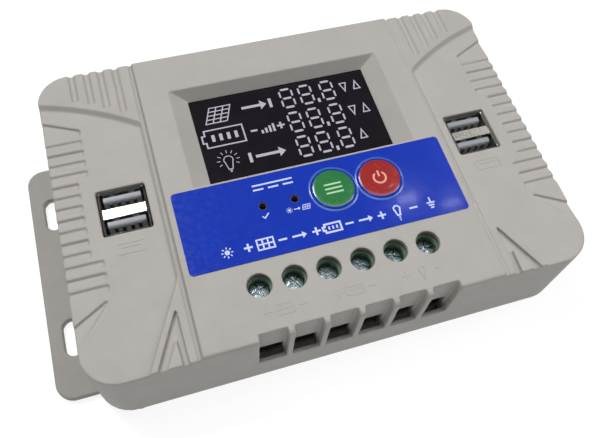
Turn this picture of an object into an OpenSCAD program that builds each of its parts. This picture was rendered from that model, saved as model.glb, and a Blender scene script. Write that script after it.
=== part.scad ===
// Solar charge controller: a wall-mounted box with a sunk display, two keys, two stacked USB
// outlets and a row of rising-cage screw terminals. Millimetres. X runs along the box, Y from the
// wire entries to the back, Z up from the mounting face. The origin is the mounting face's centre.

/* [Cover] */
// Length of the cover at its top edge
cover_l = 150.4; // [148:0.2:152]
// Width of the cover at its top edge
cover_w = 101.6; // [101:0.2:103]
// Height of the cover's centre band
cover_h = 31; // [31:0.1:32]
// Radius of the cover's upright corners
corner_r = 10; // [8:0.5:12]
// Outward lean of each wall from top to bottom
wall_lean = 0.8; // [0.4:0.1:1]
// Thickness of the walls and of the roof
wall = 2.2; // [2:0.1:2.4]
// Round on the top edge
edge_round = 0.8; // [0.4:0.1:1]

/* [Relief] */
// Half width of the raised centre band
band_half = 44.3; // [43:0.1:45]
// Width of the ledge beside the band
ledge_w = 1.65; // [1:0.05:2]
// Drop from the band to the ledge
ledge_drop = 1.4; // [1.2:0.1:1.6]
// Drop from the band to the back corners and the front chevrons
corner_drop = 0.9; // [0.6:0.1:1.1]
// Drop from the band to the side areas
side_drop = 2.3; // [2:0.1:2.4]
// Number of louvres on each side
louvre_count = 16; // [12:1:16]
// Distance between louvres
louvre_pitch = 3.785; // [3.6:0.005:3.8]
// Depth of a louvre at its riser
louvre_depth = 0.9; // [0.5:0.1:1]
// Run of a louvre's floor from its lowest line up to the side area
louvre_run = 2.6; // [1.6:0.1:3]
// Run of the slope at each step beside the band
step_slope = 0.5; // [0.2:0.1:0.7]

/* [Display] */
// Half width of the display recess at its top
recess_half = 35.5; // [34:0.1:36]
// Front edge of the display recess
recess_front = -0.2; // [-0.5:0.1:0]
// Back edge of the display recess at its top
recess_back = 36.45; // [36:0.05:37]
// Depth of the glass below the band
glass_depth = 4.2; // [4:0.1:4.4]
// Run of the recess's side slopes
side_slope = 6; // [5:0.1:6.5]
// Run of the recess's back slope
back_slope = 3.1; // [2.5:0.1:3.5]

/* [Keys] */
// Position of the menu key
menu_pos = [4.7, -11.1];
// Position of the power key
power_pos = [19.5, -11.1];
// Radius of a key cap
key_r = 6.9; // [6.5:0.05:6.9]
// Travel of a key
key_travel = 0.5; // [0.3:0.05:0.5]
// Height of a key cap above the band
key_rise = 0.75; // [0.5:0.05:0.8]
// Positions of the indicator holes
led_pos = [[-17.4, -11.4], [-7.6, -11.4]];
// Radius of an indicator hole
led_hole_r = 1.3; // [1:0.1:1.4]

/* [Terminals] */
// Number of terminals
terminal_count = 6; // [6:1:6]
// Distance between terminals
terminal_pitch = 10.16; // [10.16:0.01:10.16]
// Centre of the terminal row
terminal_x = 0.5; // [0:0.1:1]
// Line of the screw axes
screw_y = -35; // [-35.2:0.1:-34.8]
// Radius of the screwdriver holes in the cover
driver_hole_r = 3.56; // [3.2:0.01:3.8]
// Radius of a terminal screw's head
screw_head_r = 2.75; // [2.5:0.05:2.8]
// Radius of a terminal screw's shank
screw_shank_r = 2; // [1.8:0.1:2]
// Width of a wire notch
notch_w = 8.4; // [8:0.1:8.6]

/* [USB] */
// Distance of each USB window from the centre line
usb_x = 56.2; // [56:0.1:56.6]
// Front to back position of the USB windows
usb_y = -0.75; // [-1:0.05:0]
// Size of a USB window
usb_window = [14.4, 15.15];
// Outer size of the stacked socket's shell
usb_shell = [13.3, 14.1];

/* [Mounting] */
// Distance from the centre to a flange's outer edge
flange_x = 87.3; // [86:0.1:88]
// Front edge of the flanges
flange_front = -44.15; // [-45:0.05:-43]
// Back edge of the flanges
flange_back = 36; // [35:0.5:37]
// Radius of the flanges' outer corners
flange_r = 5.5; // [4:0.5:7]
// Thickness of the base plate and its flanges
plate_t = 2.5; // [2.2:0.1:2.5]
// Distance from the centre to a slot's line
slot_x = 80.5; // [80:0.1:81]
// Positions of the slots along the flange
slot_y = [-25.4, 18.2];
// Width of a slot
slot_w = 5; // [4.5:0.1:5.2]
// Length of a slot, end to end
slot_l = 11.5; // [10:0.5:12]

/* [Hidden] */

$fn = 48;
over = 1;                                   // how far a cut runs past a face

// Heights
ledge_z = cover_h - ledge_drop;
corner_z = cover_h - corner_drop;
side_z = cover_h - side_drop;
roof_z = cover_h - wall;                    // underside of the band
side_roof_z = side_z - wall;                // underside of the side areas
glass_z = cover_h - glass_depth;
board_z = 7;                                // underside of the power board
board_t = 1.6;
board_top = board_z + board_t;
display_z = 20;                             // underside of the display board
display_top = display_z + board_t;

// Inside of the cover
inner_l = cover_l - 2 * wall;
inner_w = cover_w - 2 * wall;
inner_r = corner_r - wall;
fit_gap = 0.2;                              // between parts that lie side by side

// Screws
boss_pos = [68, 43.5];                      // case screws
boss_r = 3;
case_screw_r = 1.45;
case_head = [2.8, 1.15];                    // radius and height of a screw's head
power_screw_pos = [59.5, 39];
power_screw_r = 1.4;
power_head = [2.8, 1.9];
power_post_r = 3.4;
display_screw_x = 39.5;
display_screw_y = [-22.5, 39.5];
display_screw_r = 1.05;
display_head = [2, 1.3];
display_boss_r = 2.4;
pilot_gap = 0.05;

// Base plate
rest_x = 24;                                // posts that the power board rests on
rest_y = [-10, 30];
rest_r = 2.6;
rib_inset = 3;                              // from the plate's edge line to the locating rib
rib_t = 1.5;
rib_h = 1.8;
back_panel = [118, 72, 4];                  // length, width and corner radius
back_panel_depth = 0.5;

// Relief plan: the step between the back corner and the side area is an arc
arc_centre = [97.4, -43.9];
arc_r = 87.6;
arc_slope = 1.5;
ledge_out = band_half + ledge_w;
groove_top_w = 2.4;
groove_floor_w = 1.1;
groove_depth = 0.8;
groove_x = [50.1, 54.8, 59.2, 63.9];
groove_gap = 3;                             // from the arc to a groove's end
louvre_back = 30.1;
louvre_long = 64.4;                         // inner end of the long louvres
louvre_short = 67.5;                        // inner end of the short ones
louvre_short_first = 5;
louvre_short_last = 11;
louvre_out = cover_l / 2 + 2;
louvre_gap = 0.1;                           // flat left between two slanted louvres
riser_lean = 0.4;
fan_back_y = 36;                            // where the slanted first riser meets the edge
fan_front_y = [-33.8, -41.8];               // where the last, fan-shaped louvre meets the edge
chevron_out = [[ledge_out - 0.1, -26.2], [58.3, -50.6], [58.6, -53], [ledge_out - 0.1, -53]];
chevron_in = [[48.3, -34.8], [57.4, -53], [47.9, -53]];
chevron_core = [[49.9, -43.2], [55, -53], [49.5, -53]];

// Terminals, worked out upwards from the power board
block_front = -46.5;
block_back = -28;
block_top = 28.5;
block_half = terminal_count * terminal_pitch / 2 + 0.7;
chamber = [9, 7.8];                         // room for one cage
chamber_z = [10.7, 23.7];
entry_z = [12.2, 17.4];
entry_w = 7;
well_r = 3.05;
head_z = 24.5;
head_h = 2;
bar_z = 17.1;
bar_t = 1;
bar_w = 5.8;
cage = [8.4, 7];
cage_z = 11;
cage_h = 8.9;
cage_floor = 1.5;
cage_roof = 1.5;
cage_side = 0.9;
run_gap = 0.05;                             // radial gap of the screw in its cage
screw_tip_z = bar_z + bar_t + 0.05;

// Wire notches
notch_back = -48.5;
notch_sill = 12.8;
sill_back = -49.9;                          // behind the sill the wall is cut away
pocket_t = 1.6;
pocket_z = 9;
wire_hole_w = 7.4;
wire_hole_top = 18.3;
rib_round = 1.6;
rib_inset_x = 0.9;                          // from the end notches to the ends of the round

// Keys
key_hole_r = key_r + 0.25;
key_tab = [8, 16.4];
key_tab_z = 27.4;
key_tab_t = 1;
key_foot_r = 2.2;
switch_size = [6, 3.5];
switch_leg = [3.1, 2.2];
plunger_r = 1.6;
plunger_top = 26.6;
led_r = 1.5;
led_flange = [1.9, 23.5];                   // radius, and height of its underside
led_dome_z = 26.9;
led_leg_x = 1.27;
label_t = 0.2;
label_r = 1.2;
label_half = 42.6;
label_front = -27.75;
label_back = -0.95;

// Display
display_half = 41.5;
display_front = -26;
display_back = 42;
glass_low = [-31.4, -1.6, 24.9];
glass_high = [31.4, 35, glass_z - 0.1];
frame_low = [-33, -2.5, display_top];
frame_high = [33, 36.2, 26.6];
window_low = [-30, -0.2];
window_high = [30, 33.6];
backlight_low = [-29.8, 0, display_top + 0.3];
backlight_high = [29.8, 33.4, 24.7];
lcd_pin_count = 16;
lcd_pin_y = 34.5;
header_count = 10;
header_pos = [-20, -21];
header_w = 2.5;
pin_pitch = 2.54;
pin_hole_r = 0.4;

// Power board and what stands on it
power_low = [-64.5, -46.2, board_z];
power_high = [64.5, 46, board_top];
heatsink_low = [-36, 8, board_top + 0.3];
heatsink_high = [36, 41.5, board_top + 3.3];
fin_y = [33.5, 35.7, 37.9, 40.1];
fin_t = 1;
mosfet_x = [-27, -9, 9, 27];
mosfet_y = 20;
mosfet_legs = [-2.54, 0, 2.54];
mosfet_leg_y = -17;                         // from the mosfet's middle to its legs
mosfet_screw_y = 6.5;
// Place, radius and height of each capacitor
capacitor_places = [[-52, 36, 5, 16], [52, 36, 5, 16], [-52, 22.5, 6.2, 16.5], [52, 22.5, 6.2, 16.5],
                    [-52, -24, 4, 11], [52, -24, 4, 11]];
inductor_places = [[-42.5, -13], [42.5, -13]];
core_hole_r = 3.4;
core_size = [3.2, 5.6];
wire_t = 0.7;
wire_gap = 0.05;                            // from the core to its wire
winding_turns = 14;
winding_sweep = 300;
controller_pos = [8, -8];
driver_places = [[-12, -8], [26, -8], [-24, -8]];
diode_places = [[-42, -25], [30, -22], [42, -25]];
shunt_x = [2, 10, 18];
shunt_y = -21;
shunt_reach = 4;                            // from a shunt's middle to each leg
shunt_t = 1.6;

// USB sockets
usb_face = 28;
usb_skin = 0.35;
usb_strip = 3.1;
usb_port = [usb_shell[0] - 2 * usb_skin, (usb_shell[1] - 2 * usb_skin - usb_strip) / 2];
usb_port_y = (usb_strip + usb_port[1]) / 2;
usb_tongue = [11.1, 1.84];
usb_tongue_top = 26.7;
usb_tongue_y = usb_port[1] / 2 - 0.55 - usb_tongue[1] / 2;
usb_core_top = 16.5;
usb_contact_x = [-3.5, -1.25, 1.25, 3.5];
usb_lip = 0.3;
usb_lip_gap = 1.2;                          // open stretch of the lips at each corner

function terminal_pos(i) = terminal_x + (i - (terminal_count - 1) / 2) * terminal_pitch;
function louvre_y(i) = louvre_back - louvre_pitch * i;
function louvre_in(i) = i >= louvre_short_first && i <= louvre_short_last ? louvre_short : louvre_long;
function arc_y(x) = arc_centre[1] + sqrt(pow(arc_r, 2) - pow(arc_centre[0] - x, 2));

// ---------- shared shapes ----------

module rounded(l, w, r) {
    square([l - 2 * r, w], center = true);
    square([l, w - 2 * r], center = true);
    for (x = [-1, 1], y = [-1, 1])
        translate([x * (l / 2 - r), y * (w / 2 - r)])
            circle(r);
}

module slab(l, w, r, z, h) {
    translate([0, 0, z])
        linear_extrude(h)
            rounded(l, w, r);
}

// A box given by its low and high corners
module span(low, high) {
    translate(low)
        cube(high - low);
}

module both_sides() {
    children();
    mirror([1, 0, 0])
        children();
}

module at_corners(pos) {
    for (x = [-1, 1], y = [-1, 1])
        translate([x * pos[0], y * pos[1], 0])
            children();
}

module at_terminals() {
    for (i = [0 : terminal_count - 1])
        translate([terminal_pos(i), 0, 0])
            children();
}

module at_display_screws() {
    for (s = [-1, 1], y = display_screw_y)
        translate([s * display_screw_x, y, 0])
            children();
}

// A row of pins or of holes for them, along X
module at_row(count, pos) {
    for (i = [0 : count - 1])
        translate([pos[0] + (i - (count - 1) / 2) * pin_pitch, pos[1], 0])
            children();
}

// A profile in the Y-Z plane, extruded along X from x0 to x1
module along_x(x0, x1) {
    translate([x0, 0, 0])
        rotate([90, 0, 90])
            linear_extrude(x1 - x0)
                children();
}

// A profile in the X-Z plane, extruded along Y from y0 to y1
module along_y(y0, y1) {
    translate([0, y1, 0])
        rotate([90, 0, 0])
            linear_extrude(y1 - y0)
                children();
}

module pan_screw(head_r, head_h, shank_r, shank_l) {
    difference() {
        union() {
            cylinder(h = head_h, r = head_r);
            translate([0, 0, -shank_l])
                cylinder(h = shank_l, r = shank_r);
        }
        for (a = [0, 90])
            rotate([0, 0, a])
                translate([-head_r * 0.6, -0.3, head_h * 0.45])
                    cube([head_r * 1.2, 0.6, head_h]);
    }
}

// ---------- cover ----------

module cover_slice(z, grow) {
    slab(cover_l + 2 * grow, cover_w + 2 * grow, corner_r + grow, z, 0.01);
}

module cover_body() {
    hull() {
        cover_slice(0, wall_lean, $fn = 32);
        cover_slice(cover_h - edge_round, 0, $fn = 32);
        cover_slice(cover_h - edge_round * 0.3, -edge_round * 0.3, $fn = 32);
        cover_slice(cover_h - 0.01, -edge_round, $fn = 32);
    }
}

module cover_cavity() {
    slab(inner_l, inner_w, inner_r, -over, side_roof_z + over);
    span([-band_half + 0.8, -inner_w / 2 + fit_gap, 5], [band_half - 0.8, inner_w / 2 - fit_gap, roof_z]);
}

// What is taken off the right half to leave the ledge, corners and side area
module relief_cut() {
    far = cover_l / 2 + 5;
    deep = cover_w / 2 + 5;
    ledge_end = ledge_out - step_slope / 2;
    above = cover_h + over;
    along_y(-deep, deep)
        polygon([[band_half, above], [band_half, cover_h], [band_half + step_slope, ledge_z],
                 [ledge_end, ledge_z], [ledge_out, corner_z], [far, corner_z], [far, above]]);
    difference() {
        intersection() {
            along_y(-deep, deep)
                polygon([[ledge_end, corner_z + 0.1], [ledge_end, ledge_z],
                         [ledge_out + step_slope, side_z], [far, side_z], [far, corner_z + 0.1]]);
            translate([arc_centre[0], arc_centre[1], side_z])
                cylinder(h = corner_z - side_z + 0.1, r1 = arc_r - arc_slope / 2,
                         r2 = arc_r + arc_slope / 2, $fn = 180);
        }
        translate([0, 0, side_z - over])
            linear_extrude(2 * over + side_drop)
                difference() {
                    polygon(chevron_out);
                    difference() {
                        polygon(chevron_in);
                        polygon(chevron_core);
                    }
                }
    }
    for (x = groove_x)
        translate([x, 0, corner_z])
            along_y(arc_y(x) + groove_gap, deep)
                polygon([[-groove_floor_w / 2, -groove_depth], [groove_floor_w / 2, -groove_depth],
                         [groove_top_w / 2, 0], [groove_top_w / 2, over], [-groove_top_w / 2, over],
                         [-groove_top_w / 2, 0]]);
}

module louvre(x_in, y) {
    along_x(x_in, louvre_out)
        polygon([[y - riser_lean / 2, side_z - louvre_depth], [y + riser_lean / 2, side_z],
                 [y + riser_lean / 2, side_z + over], [y - louvre_run, side_z + over],
                 [y - louvre_run, side_z]]);
}

// A louvre with a slanted riser from a to b, whose floor rises to the far edge from c to d
module louvre_fan(a, b, c, d) {
    low = side_z - louvre_depth;
    high = side_z + over;
    polyhedron(
        points = [[a[0], a[1], low], [b[0], b[1], low], [c[0], c[1], side_z], [d[0], d[1], side_z],
                  [a[0], a[1], high], [b[0], b[1], high], [c[0], c[1], high], [d[0], d[1], high]],
        faces = [[0, 1, 2], [0, 2, 3], [7, 6, 5, 4], [4, 5, 1, 0], [5, 6, 2, 1], [6, 7, 3, 2],
                 [7, 4, 0, 3]]);
}

module louvres() {
    last = louvre_count - 1;
    for (i = [1 : last - 1])
        louvre(louvre_in(i), louvre_y(i));
    louvre_fan([louvre_long, louvre_y(0)], [louvre_out, fan_back_y],
               [louvre_out, louvre_y(1) + louvre_gap], [louvre_long, louvre_y(1) + louvre_gap]);
    louvre_fan([louvre_long, louvre_y(last)], [louvre_out, fan_front_y[0]],
               [louvre_out, fan_front_y[1]], [louvre_long, louvre_y(last) - louvre_gap]);
}

module display_recess() {
    rise = glass_depth + over;
    grow = rise / glass_depth;
    floor_half = recess_half - side_slope;
    floor_back = recess_back - back_slope;
    intersection() {
        along_y(recess_front, recess_back + 10)
            polygon([[-floor_half, glass_z], [floor_half, glass_z],
                     [floor_half + side_slope * grow, glass_z + rise],
                     [-floor_half - side_slope * grow, glass_z + rise]]);
        along_x(-recess_half - 10, recess_half + 10)
            polygon([[recess_front, glass_z], [floor_back, glass_z],
                     [floor_back + back_slope * grow, glass_z + rise], [recess_front, glass_z + rise]]);
    }
    span([-floor_half, recess_front, glass_z - over], [floor_half, floor_back, glass_z + 0.1]);
}

// Walls that carry the recess down to the glass, the bosses, and the backs of the wire notches
module cover_inside() {
    span([-recess_half - wall, recess_front - wall, glass_z],
         [recess_half + wall, recess_back + wall, cover_h - 1]);
    at_display_screws()
        translate([0, 0, display_top + 0.1])
            cylinder(h = roof_z - display_top, r = display_boss_r);
    at_corners(boss_pos)
        translate([0, 0, plate_t + 0.1])
            cylinder(h = side_roof_z - plate_t, r = boss_r);
    pocket_half = terminal_count * terminal_pitch / 2;
    span([terminal_x - pocket_half, notch_back - 0.5, pocket_z],
         [terminal_x + pocket_half, notch_back + pocket_t, roof_z + 0.5]);
}

module wire_notch() {
    front = -cover_w / 2 - 3;
    along_x(-notch_w / 2, notch_w / 2)
        polygon([[notch_back, notch_sill - 0.4], [notch_back, cover_h + over], [front, cover_h + over],
                 [front, notch_sill + 0.5], [-cover_w / 2, notch_sill]]);
    span([-wire_hole_w / 2, sill_back, pocket_z - over],
         [wire_hole_w / 2, notch_back + pocket_t + over, wire_hole_top]);
}

// Rounds the top front edge over the notches' ribs
module rib_edge() {
    half = terminal_count * terminal_pitch / 2 - rib_inset_x;
    front = -cover_w / 2;
    difference() {
        span([terminal_x - half, front - over, cover_h - rib_round],
             [terminal_x + half, front + rib_round, cover_h + over]);
        translate([terminal_x - half - over, front + rib_round, cover_h - rib_round])
            rotate([0, 90, 0])
                cylinder(h = 2 * (half + over), r = rib_round);
    }
}

module top_cover() {
    color([0.72, 0.71, 0.69])
    difference() {
        union() {
            difference() {
                cover_body();
                cover_cavity();
            }
            cover_inside();
        }
        both_sides() {
            relief_cut();
            louvres();
            // the skirt stops above the flange
            span([inner_l / 2 - over, flange_front - fit_gap, -over],
                 [cover_l / 2 + 3, flange_back + fit_gap, plate_t + fit_gap]);
        }
        for (s = [-1, 1])
            translate([s * usb_x, usb_y, side_z - 1])
                cube([usb_window[0], usb_window[1], 10], center = true);
        display_recess();
        for (p = [menu_pos, power_pos])
            translate([p[0], p[1], roof_z - over])
                cylinder(h = wall + 2 * over, r = key_hole_r);
        for (p = led_pos)
            translate([p[0], p[1], roof_z - over])
                cylinder(h = wall + 2 * over, r = led_hole_r);
        at_terminals() {
            translate([0, screw_y, roof_z - over])
                cylinder(h = wall + 2 * over, r = driver_hole_r);
            wire_notch();
        }
        rib_edge();
        at_corners(boss_pos)
            cylinder(h = 20, r = case_screw_r + pilot_gap);
        at_display_screws()
            translate([0, 0, display_top])
                cylinder(h = 6, r = display_screw_r + pilot_gap);
    }
}

// ---------- base and case screws ----------

module flange_slots() {
    for (s = [-1, 1], y = slot_y)
        translate([s * slot_x, y, -over]) {
            translate([-slot_w / 2, -(slot_l - slot_w) / 2, 0])
                cube([slot_w, slot_l - slot_w, plate_t + 2 * over]);
            for (e = [-1, 1])
                translate([0, e * (slot_l - slot_w) / 2, 0])
                    cylinder(h = plate_t + 2 * over, r = slot_w / 2);
        }
}

// A rib all round that locates the plate inside the cover
module locating_rib() {
    difference() {
        slab(inner_l - 2 * rib_inset, inner_w - 2 * rib_inset, inner_r - rib_inset + fit_gap,
             0, plate_t + rib_h);
        slab(inner_l - 2 * (rib_inset + rib_t), inner_w - 2 * (rib_inset + rib_t),
             inner_r - rib_inset - rib_t + fit_gap, 0, 10);
        at_corners(boss_pos)
            cylinder(h = 10, r = boss_r + 0.6);
    }
}

module base_plate() {
    flange_w = flange_back - flange_front;
    color([0.68, 0.67, 0.65])
    difference() {
        union() {
            slab(inner_l - 2 * fit_gap, inner_w - 2 * fit_gap, inner_r - fit_gap, 0, plate_t);
            translate([0, (flange_back + flange_front) / 2, 0])
                slab(2 * flange_x, flange_w, flange_r, 0, plate_t);
            at_corners(power_screw_pos)
                cylinder(h = board_z, r = power_post_r);
            for (s = [-1, 1], y = rest_y)
                translate([s * rest_x, y, 0])
                    cylinder(h = board_z, r = rest_r);
            locating_rib();
        }
        flange_slots();
        at_corners(boss_pos) {
            translate([0, 0, -over])
                cylinder(h = 6, r = case_screw_r + 0.2);
            translate([0, 0, -over])
                cylinder(h = over + case_head[1] + 0.15, r = case_head[0] + 0.3);
        }
        at_corners(power_screw_pos)
            translate([0, 0, 1.5])
                cylinder(h = 10, r = power_screw_r + pilot_gap);
        slab(back_panel[0], back_panel[1], back_panel[2], -over, over + back_panel_depth);
    }
}

module cover_screws() {
    color([0.62, 0.64, 0.66])
    at_corners(boss_pos)
        translate([0, 0, 1.25])
            mirror([0, 0, 1])
                pan_screw(case_head[0], case_head[1], case_screw_r, 14);
}

// ---------- front label, keys and indicators ----------

module front_label() {
    color([0.12, 0.26, 0.68])
    difference() {
        translate([0, (label_front + label_back) / 2, 0])
            slab(2 * label_half, label_back - label_front, label_r, cover_h, label_t);
        for (p = [menu_pos, power_pos])
            translate([p[0], p[1], cover_h - over])
                cylinder(h = 3, r = key_hole_r);
        for (p = led_pos)
            translate([p[0], p[1], cover_h - over])
                cylinder(h = 3, r = led_hole_r);
    }
}

module key_cap(pos) {
    top = cover_h + key_rise;
    translate([pos[0], pos[1], 0]) {
        rotate_extrude()
            polygon([[0, key_tab_z + 0.1], [key_r, key_tab_z + 0.1], [key_r, top - 0.5],
                     [key_r - 0.2, top - 0.2], [key_r - 0.8, top], [0, top]]);
        translate([-key_tab[0] / 2, -key_tab[1] / 2, key_tab_z])
            cube([key_tab[0], key_tab[1], key_tab_t]);
        translate([0, 0, plunger_top])
            cylinder(h = key_tab_z - plunger_top + 0.2, r = key_foot_r);
    }
}

module menu_key() {
    color([0.22, 0.53, 0.27])
    key_cap(menu_pos);
}

module power_key() {
    color([0.75, 0.2, 0.17])
    key_cap(power_pos);
}

module switch_body(pos) {
    translate([pos[0], pos[1], 0])
    difference() {
        union() {
            span([-switch_size[0] / 2, -switch_size[0] / 2, display_top],
                 [switch_size[0] / 2, switch_size[0] / 2, display_top + switch_size[1]]);
            for (x = [-1, 1], y = [-1, 1])
                translate([x * switch_leg[0], y * switch_leg[1], 0])
                    span([-0.35, -0.35, display_z - 0.6], [0.35, 0.35, display_top + 0.8]);
        }
        translate([0, 0, display_top + 0.4])
            cylinder(h = 10, r = plunger_r + 0.25);
    }
}

module menu_switch_body() {
    color([0.15, 0.15, 0.16])
    switch_body(menu_pos);
}

module power_switch_body() {
    color([0.15, 0.15, 0.16])
    switch_body(power_pos);
}

module plunger(pos) {
    translate([pos[0], pos[1], display_top + 0.4 + key_travel + 0.2])
        cylinder(h = plunger_top - display_top - key_travel - 0.6, r = plunger_r);
}

module menu_plunger() {
    color([0.2, 0.2, 0.2])
    plunger(menu_pos);
}

module power_plunger() {
    color([0.2, 0.2, 0.2])
    plunger(power_pos);
}

module led(pos) {
    translate([pos[0], pos[1], 0]) {
        translate([0, 0, led_flange[1]])
            cylinder(h = 1, r = led_flange[0]);
        translate([0, 0, led_flange[1] + 0.9])
            cylinder(h = led_dome_z - led_flange[1] - 0.9, r = led_r);
        intersection() {
            translate([0, 0, led_dome_z])
                sphere(led_r);
            translate([0, 0, led_dome_z])
                cylinder(h = led_r + 0.5, r = led_r + 0.5);
        }
        for (s = [-1, 1])
            translate([s * led_leg_x, 0, 0])
                span([-0.25, -0.25, display_z - 0.8], [0.25, 0.25, led_flange[1] + 0.1]);
    }
}

module work_led() {
    color([0.45, 0.25, 0.15])
    led(led_pos[0]);
}

module pv_led() {
    color([0.2, 0.28, 0.16])
    led(led_pos[1]);
}

// ---------- display ----------

module lcd_glass() {
    color([0.12, 0.1, 0.14])
    span(glass_low, glass_high);
}

module lcd_frame() {
    pin_row = (lcd_pin_count - 1) * pin_pitch;
    color([0.9, 0.9, 0.88])
    difference() {
        span(frame_low, frame_high);
        span(glass_low - [0.1, 0.1, 0.1], [glass_high[0] + 0.1, glass_high[1] + 0.1, frame_high[2] + over]);
        span([window_low[0], window_low[1], display_top - over], [window_high[0], window_high[1], 26]);
        span([-pin_row / 2 - 0.5, lcd_pin_y - 0.4, display_top - over],
             [pin_row / 2 + 0.5, lcd_pin_y + 0.4, glass_low[2] + 0.1]);
    }
}

module lcd_backlight() {
    color([0.95, 0.96, 0.98])
    span(backlight_low, backlight_high);
}

module lcd_pins() {
    color([0.8, 0.8, 0.82])
    at_row(lcd_pin_count, [0, lcd_pin_y])
        span([-0.2, -0.2, display_z - 0.6], [0.2, 0.2, glass_low[2]]);
}

module display_board() {
    color([0.1, 0.35, 0.2])
    difference() {
        span([-display_half, display_front, display_z], [display_half, display_back, display_top]);
        translate([0, 0, display_z - over]) {
            at_display_screws()
                cylinder(h = 5, r = display_screw_r + 0.25);
            for (p = led_pos, s = [-1, 1])
                translate([p[0] + s * led_leg_x, p[1], 0])
                    cylinder(h = 5, r = pin_hole_r);
            at_row(lcd_pin_count, [0, lcd_pin_y])
                cylinder(h = 5, r = pin_hole_r);
            for (p = [menu_pos, power_pos])
                translate([p[0], p[1], 0])
                    at_corners(switch_leg)
                        cylinder(h = 5, r = 0.55);
            at_row(header_count, header_pos)
                cylinder(h = 5, r = 0.5);
        }
    }
}

module display_board_screws() {
    color([0.62, 0.64, 0.66])
    at_display_screws()
        translate([0, 0, display_z])
            mirror([0, 0, 1])
                pan_screw(display_head[0], display_head[1], display_screw_r, 7);
}

module board_header() {
    half = header_count * pin_pitch / 2;
    color([0.1, 0.1, 0.1])
    union() {
        span([header_pos[0] - half, header_pos[1] - header_w / 2, display_z - header_w],
             [header_pos[0] + half, header_pos[1] + header_w / 2, display_z]);
        at_row(header_count, header_pos)
            span([-0.3, -0.3, board_top + 2.4], [0.3, 0.3, display_top + 0.6]);
    }
}

module header_socket() {
    half = header_count * pin_pitch / 2 + 0.3;
    color([0.12, 0.12, 0.12])
    difference() {
        span([header_pos[0] - half, header_pos[1] - header_w / 2, board_top],
             [header_pos[0] + half, header_pos[1] + header_w / 2, display_z - header_w - 0.1]);
        at_row(header_count, header_pos)
            span([-0.4, -0.4, board_top + 2], [0.4, 0.4, display_z]);
    }
}

// ---------- power board ----------

// A slot through the power board for a leg
module board_slot(low, high) {
    span([low[0], low[1], board_z - over], [high[0], high[1], board_top + over]);
}

module power_board() {
    color([0.1, 0.38, 0.22])
    difference() {
        span(power_low, power_high);
        translate([0, 0, board_z - over]) {
            at_corners(power_screw_pos)
                cylinder(h = 5, r = power_screw_r + 0.3);
            at_corners(boss_pos)
                cylinder(h = 5, r = boss_r + 0.6);
        }
        at_terminals()
            board_slot([-bar_w / 2 - 0.2, screw_y + 3.7], [bar_w / 2 + 0.2, screw_y + 5.2]);
        for (x = mosfet_x, p = mosfet_legs)
            translate([x + p, mosfet_y + mosfet_leg_y, 0])
                board_slot([-0.5, -0.1], [0.5, 0.7]);
        for (x = shunt_x, s = [-1, 1])
            translate([x, shunt_y + s * shunt_reach, 0])
                board_slot([-0.9, -0.9], [0.9, 0.9]);
    }
}

module power_board_screws() {
    color([0.62, 0.64, 0.66])
    at_corners(power_screw_pos)
        translate([0, 0, board_top])
            pan_screw(power_head[0], power_head[1], power_screw_r, 6);
}

// ---------- USB sockets ----------

module at_usb(side) {
    translate([side * usb_x, usb_y, 0])
        children();
}

module at_ports() {
    for (s = [-1, 1])
        translate([0, s * usb_port_y, 0])
            children();
}

module usb_shell_part(side) {
    l = usb_shell[0];
    w = usb_shell[1];
    at_usb(side) {
        difference() {
            span([-l / 2, -w / 2, board_top], [l / 2, w / 2, usb_face]);
            at_ports()
                span([-usb_port[0] / 2, -usb_port[1] / 2, board_top - over],
                     [usb_port[0] / 2, usb_port[1] / 2, usb_face + over]);
            span([-l / 2 + usb_skin, -usb_strip / 2 + usb_skin, board_top - over],
                 [l / 2 - usb_skin, usb_strip / 2 - usb_skin, usb_face - usb_skin]);
        }
        // flared lips round the mouth, open at the corners
        for (s = [-1, 1]) {
            translate([0, s * (w + usb_lip) / 2, 0])
                span([-l / 2 + usb_lip_gap, -usb_lip / 2, usb_face - 0.8],
                     [l / 2 - usb_lip_gap, usb_lip / 2, usb_face + 0.2]);
            translate([s * (l + usb_lip) / 2, 0, 0])
                span([-usb_lip / 2, -w / 2 + usb_lip_gap, usb_face - 0.8],
                     [usb_lip / 2, w / 2 - usb_lip_gap, usb_face + 0.2]);
        }
    }
}

module usb_insulator_part(side) {
    gap = 0.1;
    at_usb(side)
        at_ports()
            span([-usb_port[0] / 2 + gap, -usb_port[1] / 2 + gap, board_top],
                 [usb_port[0] / 2 - gap, usb_port[1] / 2 - gap, usb_core_top]);
}

module usb_tongues_part(side) {
    at_usb(side)
        at_ports()
            translate([0, usb_tongue_y, 0])
            difference() {
                span([-usb_tongue[0] / 2, -usb_tongue[1] / 2, usb_core_top],
                     [usb_tongue[0] / 2, usb_tongue[1] / 2, usb_tongue_top]);
                for (x = usb_contact_x)
                    span([x - 0.6, -usb_tongue[1] / 2 - over, usb_core_top],
                         [x + 0.6, -usb_tongue[1] / 2 + 0.3, usb_tongue_top - 0.8]);
            }
}

module usb_contacts_part(side) {
    at_usb(side)
        at_ports()
            translate([0, usb_tongue_y - usb_tongue[1] / 2, 0])
                for (x = usb_contact_x)
                    span([x - 0.5, -0.1, usb_core_top + 0.05], [x + 0.5, 0.28, usb_tongue_top - 0.9]);
}

module usb_shell_left() {
    color([0.78, 0.78, 0.78])
    usb_shell_part(-1);
}

module usb_shell_right() {
    color([0.78, 0.78, 0.78])
    usb_shell_part(1);
}

module usb_insulator_left() {
    color([0.1, 0.1, 0.1])
    usb_insulator_part(-1);
}

module usb_insulator_right() {
    color([0.1, 0.1, 0.1])
    usb_insulator_part(1);
}

module usb_tongues_left() {
    color([0.8, 0.8, 0.8])
    usb_tongues_part(-1);
}

module usb_tongues_right() {
    color([0.8, 0.8, 0.8])
    usb_tongues_part(1);
}

module usb_contacts_left() {
    color([0.85, 0.75, 0.45])
    usb_contacts_part(-1);
}

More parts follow.
